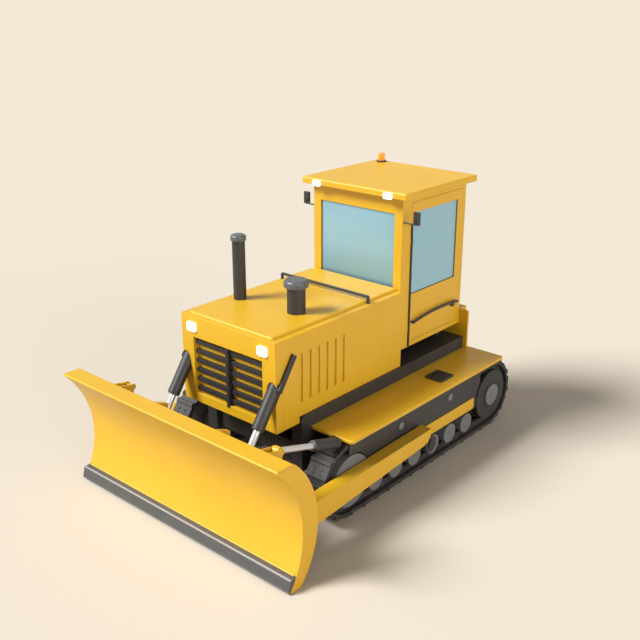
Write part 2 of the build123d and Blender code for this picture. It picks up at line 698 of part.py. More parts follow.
def strut_barrel():
    tube = bar(STRUT_X, point_on(STRUT_ANCHOR, STRUT_EYE, -50), point_on(STRUT_ANCHOR, STRUT_EYE, 380), STRUT_BARREL)
    ends = tube.faces().filter_by(GeomType.PLANE).sort_by(Axis.Y)
    tube = fillet(ends[-1].edges(), 44)
    tube = fillet(tube.faces().filter_by(GeomType.PLANE).sort_by(Axis.Y)[0].edges(), 8)
    tube -= disc(*STRUT_ANCHOR, EYE_PIN + RUNNING_CLEARANCE, (STRUT_X - 100, STRUT_X + 100))
    return tube - bar(STRUT_X, point_on(STRUT_ANCHOR, STRUT_EYE, 60), point_on(STRUT_ANCHOR, STRUT_EYE, 384),
                      STRUT_ROD + RUNNING_CLEARANCE)


def strut_rod():
    return eyed_rod(STRUT_X, STRUT_EYE, point_on(STRUT_ANCHOR, STRUT_EYE, 150), STRUT_ROD)


def strut_bracket():
    """One ear beside the barrel, with the pin the barrel swings on, under the fender's front edge."""
    y, z = STRUT_ANCHOR
    ear_x = (STRUT_X - STRUT_BARREL - 29, STRUT_X - STRUT_BARREL - 5)
    ear = across(link(STRUT_ANCHOR, (-999, 935), 34, 32), ear_x)
    ear += block(ear_x, (-999, FENDER_FRONT), (903, 967)) + block(ear_x, (FENDER_FRONT, -880), (903, FENDER_LOW))
    return ear + disc(y, z, EYE_PIN, (ear_x[1], STRUT_X + STRUT_BARREL - 4))


def main():
    os.makedirs("parts", exist_ok=True)
    save("frame_rails", *frame_rails())
    save("frame_crossmembers", *frame_crossmembers())
    save("engine_block", engine_block())
    save("drawbar", drawbar())
    save("hood_front", hood_front())
    side = hood_side()
    save("hood_left", side)
    save("hood_right", mirrored(side))
    save("hood_lid", hood_lid())
    save("grille", grille())
    save("headlights", *headlights())
    save("exhaust_stack", exhaust_stack())
    save("precleaner", precleaner())
    save("stack_caps", *stack_caps())
    save("hood_rail", hood_rail())
    save("lift_brackets", *lift_brackets())
    save("cab_floor", cab_floor())
    save("cab_front", end_wall(CAB_FRONT, WINDSCREEN))
    save("cab_rear", end_wall(CAB_REAR - CAB_WALL, REAR_WINDOW))
    wall = cab_side()
    save("cab_side_left", wall)
    save("cab_side_right", mirrored(wall))
    save("cab_roof", cab_roof())
    save("windscreen", end_pane(CAB_FRONT + 18, WINDSCREEN))
    save("rear_window", end_pane(CAB_REAR - 30, REAR_WINDOW))
    save("roof_lamps", *roof_lamps())
    base, lens = beacon()
    save("beacon", lens)
    save("mirrors", *mirrors(), base)
    save("seat", *seat())
    save("cab_controls", *cab_controls())
    save("door_hinges", *door_hinges())
    save("rear_guard", rear_guard())
    save("fuel_tank", fuel_tank())
    save("fenders", *both(fender()))
    save("track_frames", *both(track_frame()))
    save("track_guards", *both(track_guard()))
    save("wheels", *[part for wheel in wheels() for part in both(wheel)])
    save("final_drives", *final_drives())
    save("sprockets", *both(sprocket()))
    save("strut_bracket", strut_bracket(), *step_pads())
    save("strut_barrel", strut_barrel())
    save("strut_rod", strut_rod())
    save("blade", blade())
    save("blade_plates", *blade_plates())
    save("cutting_edge", cutting_edge())
    save("arm_heels", *both(bored_heel()))
    # pieces of which the right-hand one is the mirrored left-hand one, each in a node of its own
    pairs = (("track", track()), ("push_arm", push_arm()), ("lift_barrel", lift_barrel()),
             ("lift_rod", lift_rod()), ("door", door()), ("door_glass", door_glass()))
    for name, solid in pairs:
        save(f"{name}_left", solid)
        save(f"{name}_right", mirrored(solid))
    grip = door_handle()
    save("door_handle_left", *grip)
    save("door_handle_right", *[mirrored(piece) for piece in grip])


main()
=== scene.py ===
"""Looks for the crawler bulldozer: finishes, fastenings, welds, seals, cab fittings, light and camera.

Metres, in the CAD frame: the blade at -Y, the machine's left side at +X, +Z up.
"""
import json
import math

import bmesh
import bpy
from mathutils import Matrix, Vector


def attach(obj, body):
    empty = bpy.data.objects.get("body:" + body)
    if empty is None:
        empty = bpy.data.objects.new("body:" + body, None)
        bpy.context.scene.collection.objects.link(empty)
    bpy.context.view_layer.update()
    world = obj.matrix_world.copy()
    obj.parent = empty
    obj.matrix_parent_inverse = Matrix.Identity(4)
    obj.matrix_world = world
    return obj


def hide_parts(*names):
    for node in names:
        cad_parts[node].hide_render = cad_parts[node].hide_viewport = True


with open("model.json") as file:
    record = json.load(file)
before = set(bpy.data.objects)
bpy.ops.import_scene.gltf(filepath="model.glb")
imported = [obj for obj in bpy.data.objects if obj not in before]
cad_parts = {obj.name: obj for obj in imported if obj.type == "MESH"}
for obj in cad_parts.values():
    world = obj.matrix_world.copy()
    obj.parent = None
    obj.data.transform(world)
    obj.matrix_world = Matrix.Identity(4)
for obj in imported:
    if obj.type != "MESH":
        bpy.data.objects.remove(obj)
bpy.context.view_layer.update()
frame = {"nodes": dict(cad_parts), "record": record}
NODES = frame["nodes"]
MM = 0.001

# ---------------------------------------------------------------- finishes


def linear(code):
    """An sRGB hex colour as the linear values that shaders take."""
    values = [int(code[i:i + 2], 16) / 255 for i in (1, 3, 5)]
    return (*[v / 12.92 if v <= 0.04045 else ((v + 0.055) / 1.055) ** 2.4 for v in values], 1.0)


def add(tree, kind, inputs=None, output=0, **settings):
    """Add a shader node with its settings and links, and give one of its outputs."""
    made = tree.nodes.new("ShaderNode" + kind)
    for name, value in settings.items():
        setattr(made, name, value)
    for name, value in (inputs or {}).items():
        if isinstance(value, bpy.types.NodeSocket):
            tree.links.new(value, made.inputs[name])
        else:
            made.inputs[name].default_value = value
    return made.outputs[output] if made.outputs else made


def new_finish(name):
    """An empty material, its tree and the object coordinates in it."""
    material = bpy.data.materials.new(name)
    material.use_nodes = True
    material.node_tree.nodes.clear()
    return material, material.node_tree, add(material.node_tree, "TexCoord", output="Object")


def edge_rounding_and_mask(tree, radius_mm):
    """Shading rounded over the edges, and a mask that is 1 along them."""
    rounded = add(tree, "Bevel", {"Radius": radius_mm * MM}, samples=6)
    flat = add(tree, "NewGeometry", output="Normal")
    alike = add(tree, "VectorMath", {0: rounded, 1: flat}, output="Value", operation="DOT_PRODUCT")
    return rounded, add(tree, "MapRange", {"Value": alike, "From Min": 0.995, "From Max": 0.9})


def yard_dust(tree, where, top_mm, share):
    """How dusty each point is: in patches, from nothing at top_mm to the most at the ground."""
    height = add(tree, "SeparateXYZ", {"Vector": where}, output="Z")
    low = add(tree, "MapRange", {"Value": height, "From Min": top_mm * MM, "From Max": 0.0})
    cloud = add(tree, "TexNoise", {"Vector": where, "Scale": 1 / (160 * MM), "Detail": 5.0, "Roughness": 0.6})
    patches = add(tree, "MapRange", {"Value": cloud, "From Min": 0.35, "From Max": 0.7, "To Max": share})
    return add(tree, "Math", {0: low, 1: patches}, operation="MULTIPLY")


DUST = "#a89c88"
YELLOW = "#d4a71c"


def enamel(name, colour, deeper, rubbed_and_highlit, roughness, dust_share):
    """Sprayed machine enamel: satin, in slowly drifting tone, paler along its edges, partly where they are
    rubbed and partly as a painted highlight.
    """
    material, tree, where = new_finish(name)
    rounded, rim = edge_rounding_and_mask(tree, 9)
    drift = add(tree, "TexNoise", {"Vector": where, "Scale": 1 / (800 * MM), "Detail": 4.0, "Roughness": 0.55})
    tone = add(tree, "MapRange", {"Value": drift, "From Min": 0.35, "From Max": 0.65})
    base = add(tree, "Mix", {0: tone, 6: linear(colour), 7: linear(deeper)}, 2, data_type="RGBA")
    scuffs = add(tree, "TexNoise", {"Vector": where, "Scale": 1 / (40 * MM), "Detail": 5.0, "Roughness": 0.7})
    scuffs = add(tree, "MapRange", {"Value": scuffs, "From Min": 0.42, "From Max": 0.62,
                                    "To Min": 0.15, "To Max": 0.6})
    # painted highlight: the paler colour along the edges stands partly for rubbed paint and partly for the
    # light that rounded edges catch
    worn_and_highlit = add(tree, "Math", {0: rim, 1: scuffs}, operation="MULTIPLY")
    base = add(tree, "Mix", {0: worn_and_highlit, 6: base, 7: linear(rubbed_and_highlit)}, 2, data_type="RGBA")
    dusty = yard_dust(tree, where, 1200, dust_share)
    base = add(tree, "Mix", {0: dusty, 6: base, 7: linear(DUST)}, 2, data_type="RGBA")
    sheen = add(tree, "TexNoise", {"Vector": where, "Scale": 1 / (120 * MM), "Detail": 4.0, "Roughness": 0.6})
    rough = add(tree, "MapRange", {"Value": sheen, "From Min": 0.3, "From Max": 0.7,
                                   "To Min": roughness - 0.05, "To Max": roughness + 0.06})
    # orange peel is 2 to 4 mm across; it is drawn at 9 mm so that it shows
    peel = add(tree, "TexNoise", {"Vector": where, "Scale": 1 / (9 * MM), "Detail": 2.0, "Roughness": 0.4})
    normal = add(tree, "Bump", {"Height": peel, "Distance": 0.1 * MM, "Normal": rounded})
    surface = add(tree, "BsdfPrincipled", {"Base Color": base, "Roughness": rough, "Normal": normal,
                                           "Coat Weight": 0.12, "Coat Roughness": 0.3})
    add(tree, "OutputMaterial", {"Surface": surface})
    return material


def worn_steel(name, colour, patina, rubbed_and_highlit, roughness, metallic, grain_mm, dust_share, polish_and_highlight=None):
    """Rolled steel that soil keeps scouring: mottled, brighter on its edges and where polish_and_highlight is
    1, which on the cutting edge is polish and a painted highlight.
    """
    material, tree, where = new_finish(name)
    rounded, rim = edge_rounding_and_mask(tree, 6)
    mottle = add(tree, "TexNoise", {"Vector": where, "Scale": 1 / (grain_mm * MM), "Detail": 6.0,
                                    "Roughness": 0.65})
    patches = add(tree, "MapRange", {"Value": mottle, "From Min": 0.35, "From Max": 0.7})
    base = add(tree, "Mix", {0: patches, 6: linear(colour), 7: linear(patina)}, 2, data_type="RGBA")
    bright = add(tree, "Math", {0: rim, 1: 0.5}, operation="MULTIPLY")
    if polish_and_highlight:
        bright = add(tree, "Math", {0: bright, 1: polish_and_highlight(tree, where)}, operation="MAXIMUM")
    base = add(tree, "Mix", {0: bright, 6: base, 7: linear(rubbed_and_highlit)}, 2, data_type="RGBA")
    base = add(tree, "Mix", {0: yard_dust(tree, where, 900, dust_share), 6: base, 7: linear(DUST)}, 2,
               data_type="RGBA")
    rough = add(tree, "MapRange", {"Value": patches, "To Min": roughness - 0.08, "To Max": roughness + 0.1})
    normal = add(tree, "Bump", {"Height": patches, "Distance": 0.3 * MM, "Normal": rounded})
    surface = add(tree, "BsdfPrincipled", {"Base Color": base, "Roughness": rough, "Metallic": metallic,
                                           "Normal": normal})
    add(tree, "OutputMaterial", {"Surface": surface})
    return material


# where the ledge's bright strip (polish and painted highlight) begins in Y, and a height just under the ledge's
# front corner, in metres
STRIP_BACK = -2.243
LEDGE_LOW = 0.1475


def ledge_polish_and_highlight(tree, where):
    """A bright line along the front of the edge's ledge, which soil rolls over and polishes; it is also a
    painted highlight where the ledge's front corner catches the light.
    """
    along_y = add(tree, "SeparateXYZ", {"Vector": where}, output="Y")
    height = add(tree, "SeparateXYZ", {"Vector": where}, output="Z")
    front = add(tree, "MapRange", {"Value": along_y, "From Min": STRIP_BACK + 3 * MM, "From Max": STRIP_BACK})
    top = add(tree, "MapRange", {"Value": height, "From Min": LEDGE_LOW - 2.5 * MM, "From Max": LEDGE_LOW})
    return add(tree, "Math", {0: front, 1: top}, operation="MULTIPLY")


# the rod eyes' centres in the side view and the reach of their paint, in metres
ROD_EYES = ((-1.895, 1.195), (-1.8792, 0.8804))
EYE_PAINT = 0.056
EYE_YELLOW = "#d4a722"


def hard_chrome():
    """Chrome plate under a film of oil, bright with faint rings, and eyes painted yellow."""
    material, tree, where = new_finish("polished_hard_chrome")
    rings = add(tree, "TexNoise", {"Vector": where, "Scale": 1 / (3 * MM), "Detail": 2.0, "Roughness": 0.5})
    oil = add(tree, "TexNoise", {"Vector": where, "Scale": 1 / (60 * MM), "Detail": 4.0, "Roughness": 0.6})
    rough = add(tree, "MapRange", {"Value": oil, "From Min": 0.3, "From Max": 0.7,
                                   "To Min": 0.3, "To Max": 0.4})
    flat = add(tree, "VectorMath", {0: where, 1: (0, 1, 1)}, operation="MULTIPLY")
    eyes = None
    for centre in ROD_EYES:
        reach = add(tree, "VectorMath", {0: flat, 1: (0, *centre)}, output="Value", operation="DISTANCE")
        near = add(tree, "MapRange", {"Value": reach, "From Min": EYE_PAINT + 0.2 * MM,
                                      "From Max": EYE_PAINT - 0.2 * MM})
        eyes = near if eyes is None else add(tree, "Math", {0: eyes, 1: near}, operation="MAXIMUM")
    base = add(tree, "Mix", {0: eyes, 6: linear("#d4d5d6"), 7: linear(EYE_YELLOW)}, 2, data_type="RGBA")
    metal = add(tree, "MapRange", {"Value": eyes, "To Min": 0.7, "To Max": 0.0})
    surface = add(tree, "BsdfPrincipled", {
        "Base Color": base, "Metallic": metal, "Roughness": rough,
        "Normal": add(tree, "Bump", {"Height": rings, "Distance": 0.005 * MM})})
    add(tree, "OutputMaterial", {"Surface": surface})
    return material


def moulding(name, colour, paler, roughness, grain_mm, depth_mm):
    """Moulded plastic, rubber or vinyl with a pebbled grain and paler handled places."""
    material, tree, where = new_finish(name)
    rounded, rim = edge_rounding_and_mask(tree, 4)
    cloud = add(tree, "TexNoise", {"Vector": where, "Scale": 1 / (90 * MM), "Detail": 4.0, "Roughness": 0.6})
    handled = add(tree, "MapRange", {"Value": cloud, "From Min": 0.35, "From Max": 0.7, "To Max": 0.5})
    handled = add(tree, "Math", {0: handled, 1: rim}, operation="MAXIMUM")
    base = add(tree, "Mix", {0: handled, 6: linear(colour), 7: linear(paler)}, 2, data_type="RGBA")
    pebbles = add(tree, "TexVoronoi", {"Vector": where, "Scale": 1 / (grain_mm * MM)})
    rough = add(tree, "MapRange", {"Value": cloud, "From Min": 0.3, "From Max": 0.7,
                                   "To Min": roughness - 0.06, "To Max": roughness + 0.06})
    normal = add(tree, "Bump", {"Height": pebbles, "Distance": depth_mm * MM, "Normal": rounded})
    surface = add(tree, "BsdfPrincipled", {"Base Color": base, "Roughness": rough, "Normal": normal})
    add(tree, "OutputMaterial", {"Surface": surface})
    return material


def solar_glass():
    """Laminated cab glass with a blue solar coating: mostly mirror and tint, a little see-through."""
    material, tree, where = new_finish("solar_coated_safety_glass")
    haze = add(tree, "TexNoise", {"Vector": where, "Scale": 1 / (500 * MM), "Detail": 3.0, "Roughness": 0.5})
    haze = add(tree, "MapRange", {"Value": haze, "From Min": 0.35, "From Max": 0.65})
    tint = add(tree, "Mix", {0: haze, 6: linear("#99c6da"), 7: linear("#9fc8d8")}, 2, data_type="RGBA")
    height = add(tree, "SeparateXYZ", {"Vector": where}, output="Z")
    back = add(tree, "SeparateXYZ", {"Vector": where}, output="Y")
    # painted shade: the windscreen's tint is darkened towards its foot; the other panes stand behind it and
    # keep the even tint
    painted_foot_shade = add(tree, "MapRange", {"Value": height, "From Min": 2.45, "From Max": 2.05, "To Max": 0.8})
    front = add(tree, "MapRange", {"Value": back, "From Min": 0.75, "From Max": 0.7})
    painted_foot_shade = add(tree, "Math", {0: painted_foot_shade, 1: front}, operation="MULTIPLY")
    tint = add(tree, "Mix", {0: painted_foot_shade, 6: tint, 7: linear("#7399ad")}, 2, data_type="RGBA")
    rough = add(tree, "MapRange", {"Value": haze, "To Min": 0.28, "To Max": 0.34})
    coated = add(tree, "BsdfPrincipled", {"Base Color": tint, "Roughness": rough, "Metallic": 0.42})
    clear = add(tree, "BsdfTransparent", {"Color": linear("#c6e6ec")})
    add(tree, "OutputMaterial", {"Surface": add(tree, "MixShader", {0: 0.14, 1: coated, 2: clear})})
    return material


def ribbed_lens(name, axis, pitch_mm, first, second, glow, strength):
    """A lit moulded lens with fine ribs across one axis."""
    material, tree, where = new_finish(name)
    place = add(tree, "SeparateXYZ", {"Vector": where}, output=axis)
    turns = add(tree, "Math", {0: place, 1: 2 * math.pi / (pitch_mm * MM)}, operation="MULTIPLY")
    ribs = add(tree, "Math", {0: turns}, operation="SINE")
    crest = add(tree, "MapRange", {"Value": ribs, "From Min": -1.0, "From Max": 1.0})
    tone = add(tree, "Mix", {0: crest, 6: linear(first), 7: linear(second)}, 2, data_type="RGBA")
    surface = add(tree, "BsdfPrincipled", {
        "Base Color": tone, "Roughness": 0.18, "Coat Weight": 0.5, "Emission Color": linear(glow),
        "Emission Strength": strength, "Normal": add(tree, "Bump", {"Height": ribs, "Distance": 0.5 * MM})})
    add(tree, "OutputMaterial", {"Surface": surface})
    return material


def mirror_glass():
    """Silvered glass, slightly hazed."""
    material, tree, where = new_finish("silvered_mirror")
    haze = add(tree, "TexNoise", {"Vector": where, "Scale": 1 / (30 * MM), "Detail": 3.0, "Roughness": 0.5})
    rough = add(tree, "MapRange", {"Value": haze, "To Min": 0.03, "To Max": 0.09})
    surface = add(tree, "BsdfPrincipled", {"Base Color": linear("#dfe4e6"), "Metallic": 1.0,
                                           "Roughness": rough})
    add(tree, "OutputMaterial", {"Surface": surface})
    return material


def studio_floor():
    """A seamless matt cream floor."""
    material, tree, where = new_finish("matt_cream_floor")
    felt = add(tree, "TexNoise", {"Vector": where, "Scale": 1 / (4 * MM), "Detail": 2.0, "Roughness": 0.5})
    rough = add(tree, "MapRange", {"Value": felt, "To Min": 0.88, "To Max": 0.94})
    surface = add(tree, "BsdfPrincipled", {"Base Color": linear("#ccc3b4"), "Roughness": rough,
                                           "Specular IOR Level": 0.1})
    add(tree, "OutputMaterial", {"Surface": surface})
    return material


LOOKS = {
    "yellow_paint": enamel("sprayed_yellow_enamel", YELLOW, "#d1a218", "#dab03a", 0.42, 0.05),
    "dark_paint": enamel("charcoal_chassis_enamel", "#2a292b", "#272627", "#454548", 0.5, 0.08),
    "grey_paint": enamel("mid_grey_enamel", "#707376", "#6a6d70", "#8b8d90", 0.5, 0.06),
    "track_steel": worn_steel("rolled_shoe_steel", "#302f30", "#383738", "#4f4f51", 0.58, 0.3, 40, 0.15),
    "edge_steel": worn_steel("hardened_edge_steel", "#505152", "#565758", "#9e9fa5", 0.5, 0.3, 60, 0.05,
                             ledge_polish_and_highlight),
    "chrome_rod": hard_chrome(),
    "dark_plastic": moulding("black_moulded_plastic", "#242324", "#302f30", 0.55, 2.5, 0.15),
    "seat_vinyl": moulding("charcoal_seat_vinyl", "#232527", "#303235", 0.5, 4, 0.2),
    "cab_glass": solar_glass(),
    "lamp_lens": ribbed_lens("lit_lamp_lens", "X", 9, "#fff6e2", "#ffffff", "#fffdf6", 1.0),
    "beacon_lens": ribbed_lens("amber_beacon_lens", "Z", 11, "#f07f10", "#ffa02a", "#ff8a10", 0.25),
}
SMOKE_ENAMEL = enamel("smoke_grey_enamel", "#55595b", "#505355", "#767a7d", 0.35, 0.05)
RUBBER = moulding("black_seal_rubber", "#1d1d1e", "#272728", 0.75, 2, 0.1)
MIRROR = mirror_glass()

for part in frame["record"]["subparts"]:
    node = NODES[part["node"]]
    node.data.materials.clear()
    node.data.materials.append(LOOKS[part["material_slot"]])
NODES["stack_caps"].data.materials[0] = SMOKE_ENAMEL

# ---------------------------------------------------------------- shapes, in millimetres
SIDES = (1, -1)
NAMED_SIDES = ((1, "left"), (-1, "right"))


def facing(at, outward, turn=0.0):
    """The placement at a point whose Z is outward, turned about it in radians."""
    swing = Vector(outward).to_track_quat("Z", "Y").to_matrix().to_4x4()
    return Matrix.Translation(Vector(at) * MM) @ swing @ Matrix.Rotation(turn, 4, "Z")


def lift(height):
    """A move along a placement's own Z."""
    return Matrix.Translation((0, 0, height * MM))


def rounded_bar(shape, low, high, radius, place=Matrix.Identity(4)):
    """A bar between two corners, with rounded edges."""
    low, high = Vector(low) * MM, Vector(high) * MM
    stretch = Matrix.Translation((low + high) / 2) @ Matrix.Diagonal((*(high - low), 1))
    made = bmesh.ops.create_cube(shape, size=1, matrix=place @ stretch)
    edges = list({edge for vert in made["verts"] for edge in vert.link_edges})
    bmesh.ops.bevel(shape, geom=edges, offset=radius * MM, offset_type="OFFSET", segments=2, profile=0.5,
                    affect="EDGES", material=-1, clamp_overlap=True)


def turned(shape, profile, place, steps=24):
    """A turned part: (radius, height) points, spun round the placement's Z."""
    before = set(shape.verts)
    verts = [shape.verts.new((radius * MM, 0, height * MM)) for radius, height in profile]
    edges = [shape.edges.new(pair) for pair in zip(verts, verts[1:])]
    bmesh.ops.spin(shape, geom=verts + edges, cent=(0, 0, 0), axis=(0, 0, 1), angle=2 * math.pi, steps=steps,
                   use_merge=True, use_duplicate=False)
    bmesh.ops.remove_doubles(shape, verts=[vert for vert in shape.verts if vert not in before], dist=0.01 * MM)
    bmesh.ops.transform(shape, matrix=place, verts=[vert for vert in shape.verts if vert not in before])


def hex_head(shape, place, flats, height):
    """A hex head with a chamfered crown, standing on a face."""
    radius = flats / math.sqrt(3) * MM
    made = bmesh.ops.create_cone(shape, cap_ends=True, segments=6, radius1=radius, radius2=radius,
                                 depth=0.8 * height * MM, matrix=place @ lift(0.4 * height))
    outward = place.to_3x3() @ Vector((0, 0, 1))
    faces = {face for vert in made["verts"] for face in vert.link_faces}
    crown = max(faces, key=lambda face: face.calc_center_median().dot(outward))
    bmesh.ops.inset_region(shape, faces=[crown], thickness=0.16 * radius, depth=0.2 * height * MM)


def edge_strip(shape, place, half_wide, half_high, width, depth):
    """A strip round the inside of a rectangular opening, standing depth off the placement's plane."""
    made = bmesh.ops.create_grid(shape, x_segments=1, y_segments=1, size=1,
                                 matrix=place @ Matrix.Diagonal((half_wide * MM, half_high * MM, 1, 1)))
    middle = made["verts"][0].link_faces[0]
    ring = bmesh.ops.inset_region(shape, faces=[middle], thickness=width * MM, use_boundary=True,
                                  use_even_offset=True)["faces"]
    bmesh.ops.delete(shape, geom=[middle], context="FACES")
    raised = bmesh.ops.extrude_face_region(shape, geom=ring, use_keep_orig=True)["geom"]
    top = [item for item in raised if isinstance(item, bmesh.types.BMVert)]
    bmesh.ops.translate(shape, verts=top, vec=place.to_3x3() @ Vector((0, 0, depth * MM)))
    rims = {edge for vert in top for edge in vert.link_edges if edge.other_vert(vert) in top}
    bmesh.ops.bevel(shape, geom=list(rims), offset=0.3 * min(width, depth) * MM, offset_type="OFFSET",
                    segments=2, profile=0.5, affect="EDGES", material=-1, clamp_overlap=True)


def arc_bead(shape, x, centre, radius, low, high, thick):
    """A round bead along an arc in the side view, between two heights."""
    start, end = (math.asin((height - centre[1]) / radius) for height in (low, high))
    hub = Vector((x, *centre)) * MM
    spoke = Vector((0, math.cos(start), math.sin(start)))
    made = bmesh.ops.create_circle(shape, segments=8, radius=thick * MM, cap_ends=False,
                                   matrix=facing(Vector((x, *centre)) + spoke * radius, spoke.cross((1, 0, 0))))
    edges = list({edge for vert in made["verts"] for edge in vert.link_edges})
    spun = bmesh.ops.spin(shape, geom=made["verts"] + edges, cent=hub, axis=(1, 0, 0), angle=end - start,
                          steps=24, use_merge=False, use_duplicate=False)
    last = [item for item in spun["geom_last"] if isinstance(item, bmesh.types.BMEdge)]
    bmesh.ops.holes_fill(shape, edges=edges + last, sides=8)


def piece(name, shape, body, slot, look=None):
    """A finished piece in its place, riding on a body, in a slot's finish or one of its own."""
    bmesh.ops.recalc_face_normals(shape, faces=shape.faces)
    mesh = bpy.data.meshes.new(name)
    shape.to_mesh(mesh)
    shape.free()
    mesh.polygons.foreach_set("use_smooth", [True] * len(mesh.polygons))
    mesh.set_sharp_from_angle(angle=math.radians(35))
    made = bpy.data.objects.new(name, mesh)
    bpy.context.scene.collection.objects.link(made)
    mesh.materials.append(look or LOOKS[slot])
    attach(made, body)
    return made


# ---------------------------------------------------------------- tracks and wheels
AXLE_Z = 445
IDLER_Y = -871
SHOE_COUNT = 36
PITCH = 218.5
PIN_RADIUS = 349
SPROCKET_Y = IDLER_Y + (SHOE_COUNT * PITCH - 2 * math.pi * PIN_RADIUS) / 2
SHOE_FACE = 80
LINK_FACES = (990, 1137)
SHOE_BOLT_X = (1013, 1114)
SHOE_BOLT_RUN = (14, 66)
ROLLER_COUNT = 6
ROLLER_FIRST = -424
ROLLER_PITCH = 363
ROLLER_Z = 256
STEP_X = 1038
STEP_Y = 990


def on_pin_line(distance):
    """Side-view place and heading on the track's pin line, back along the ground from the idler."""
    straight = SPROCKET_Y - IDLER_Y
    bend = math.pi * PIN_RADIUS
    if distance < straight:
        return IDLER_Y + distance, AXLE_Z - PIN_RADIUS, 0.0
    if distance < straight + bend:
        turn = (distance - straight) / PIN_RADIUS
        return SPROCKET_Y + PIN_RADIUS * math.sin(turn), AXLE_Z - PIN_RADIUS * math.cos(turn), turn
    if distance < 2 * straight + bend:
        return SPROCKET_Y - (distance - straight - bend), AXLE_Z + PIN_RADIUS, math.pi
    turn = math.pi + (distance - 2 * straight - bend) / PIN_RADIUS
    return IDLER_Y + PIN_RADIUS * math.sin(turn), AXLE_Z - PIN_RADIUS * math.cos(turn), turn


def shoe_bolts(side, name):
    """Four bolts through each shoe into its links."""
    shape = bmesh.new()
    for n in range(SHOE_COUNT):
        y, z, turn = on_pin_line((n + 0.5) * PITCH)
        outward = Vector((0, math.sin(turn), -math.cos(turn)))
        ahead = Vector((0, math.cos(turn), math.sin(turn)))
        for run in SHOE_BOLT_RUN:
            for x in SHOE_BOLT_X:
                at = Vector((side * x, y, z)) + ahead * run + outward * SHOE_FACE
                hex_head(shape, facing(at, outward), 24, 8)
    piece(f"shoe_bolts_{name}", shape, "chassis", "track_steel")


def track_pins(side, name):
    """The ends of the pins that join the links."""
    shape = bmesh.new()
    for n in range(SHOE_COUNT):
        y, z, turn = on_pin_line(n * PITCH)
        for x, way in zip(LINK_FACES, (-1, 1)):
            place = facing((side * x, y, z), (side * way, 0, 0), turn)
            bmesh.ops.create_cone(shape, cap_ends=True, segments=12, radius1=19 * MM, radius2=15 * MM,
                                  depth=5 * MM, matrix=place @ lift(2.5))
    piece(f"track_pins_{name}", shape, "chassis", "track_steel")


def wheel_caps():
    """Oil plugs in a shallow ring at the middle of each roller, idler and final drive."""
    # side view place, radius and the outer face's X
    table = [(ROLLER_FIRST + ROLLER_PITCH * n, ROLLER_Z, 34, 1204) for n in range(ROLLER_COUNT)]
    table += [(IDLER_Y, AXLE_Z, 42, 1216), (SPROCKET_Y, AXLE_Z, 36, 1216)]
    shape = bmesh.new()
    for y, z, radius, x in table:
        for side in SIDES:
            profile = ((0, 4.5), (9, 4.5), (10, 1.5), (radius - 6, 1.5), (radius - 4, 3.5), (radius - 1, 3.5),
                       (radius, 2.5), (radius, -1), (0, -1))
            turned(shape, profile, facing((side * x, y, z), (side, 0, 0)))
    piece("wheel_caps", shape, "chassis", "grey_paint")


def step_treads():
    """Raised anti-slip bars on the step pads."""
    shape = bmesh.new()
    for side in SIDES:
        for n in range(8):
            y = STEP_Y + (n - 3.5) * 31
            rounded_bar(shape, (side * STEP_X - 98, y - 5, 982), (side * STEP_X + 98, y + 5, 988), 2)
    piece("step_treads", shape, "chassis", "dark_paint", RUBBER)


# ---------------------------------------------------------------- blade and cylinders
FACE_CENTRE = (-3112.92, 593.41)
FACE_RADIUS = 1030.02
SKIN = 32
EDGE_HALF = 1598
NUT_COUNT = 14
NUT_PITCH = 236
LIFT_X = 648
LIFT_TOP = Vector((0, -1404.3, 1567.4))
LIFT_BOTTOM = Vector((0, -1679, 1170))
STRUT_X = 1130
STRUT_ANCHOR = Vector((0, -1030, 933))
STRUT_EYE = Vector((0, -1895, 1195))
STRUT_BARREL_END = 380


def blade_welds():
    """Fillet beads where the ribs and the cylinders' plates meet the moldboard's back."""
    # X of the plate's face, and the bead's lowest and highest points
    table = ((447, 702, 1256), (507, 702, 1256), (1070, 645, 1250), (1088, 645, 1250), (1172, 645, 1250),
             (1190, 645, 1250), (556, 565, 1015), (574, 565, 1015), (722, 565, 1015), (740, 565, 1015))
    shape = bmesh.new()
    for side in SIDES:
        for x, low, high in table:
            arc_bead(shape, side * x, FACE_CENTRE, FACE_RADIUS + SKIN, low, high, 8)
    piece("blade_welds", shape, "blade", "yellow_paint")


def edge_fillet():
    """The painted weld that fills the corner between the moldboard and the cutting edge's ledge."""
    shape = bmesh.new()
    end = facing((-EDGE_HALF, -2181, 158), (1, 0, 0)) @ Matrix.Diagonal((14 * MM, 12 * MM, 1, 1))
    made = bmesh.ops.create_circle(shape, segments=12, radius=1, cap_ends=True, matrix=end)
    face = made["verts"][0].link_faces[0]
    grown = bmesh.ops.extrude_face_region(shape, geom=[face], use_keep_orig=True)["geom"]
    far = [item for item in grown if isinstance(item, bmesh.types.BMVert)]
    bmesh.ops.translate(shape, verts=far, vec=(2 * EDGE_HALF * MM, 0, 0))
    piece("edge_fillet", shape, "blade", "yellow_paint")


def edge_nuts():
    """Nuts of the plough bolts that hold the cutting edge, on the moldboard's back."""
    shape = bmesh.new()
    outward = Vector((0, 219, -70)).normalized()
    for n in range(NUT_COUNT):
        x = (n - (NUT_COUNT - 1) / 2) * NUT_PITCH
        hex_head(shape, facing((x, -2096.3, 140), outward, math.radians(15)), 34, 16)
    piece("edge_nuts", shape, "blade", "dark_paint")


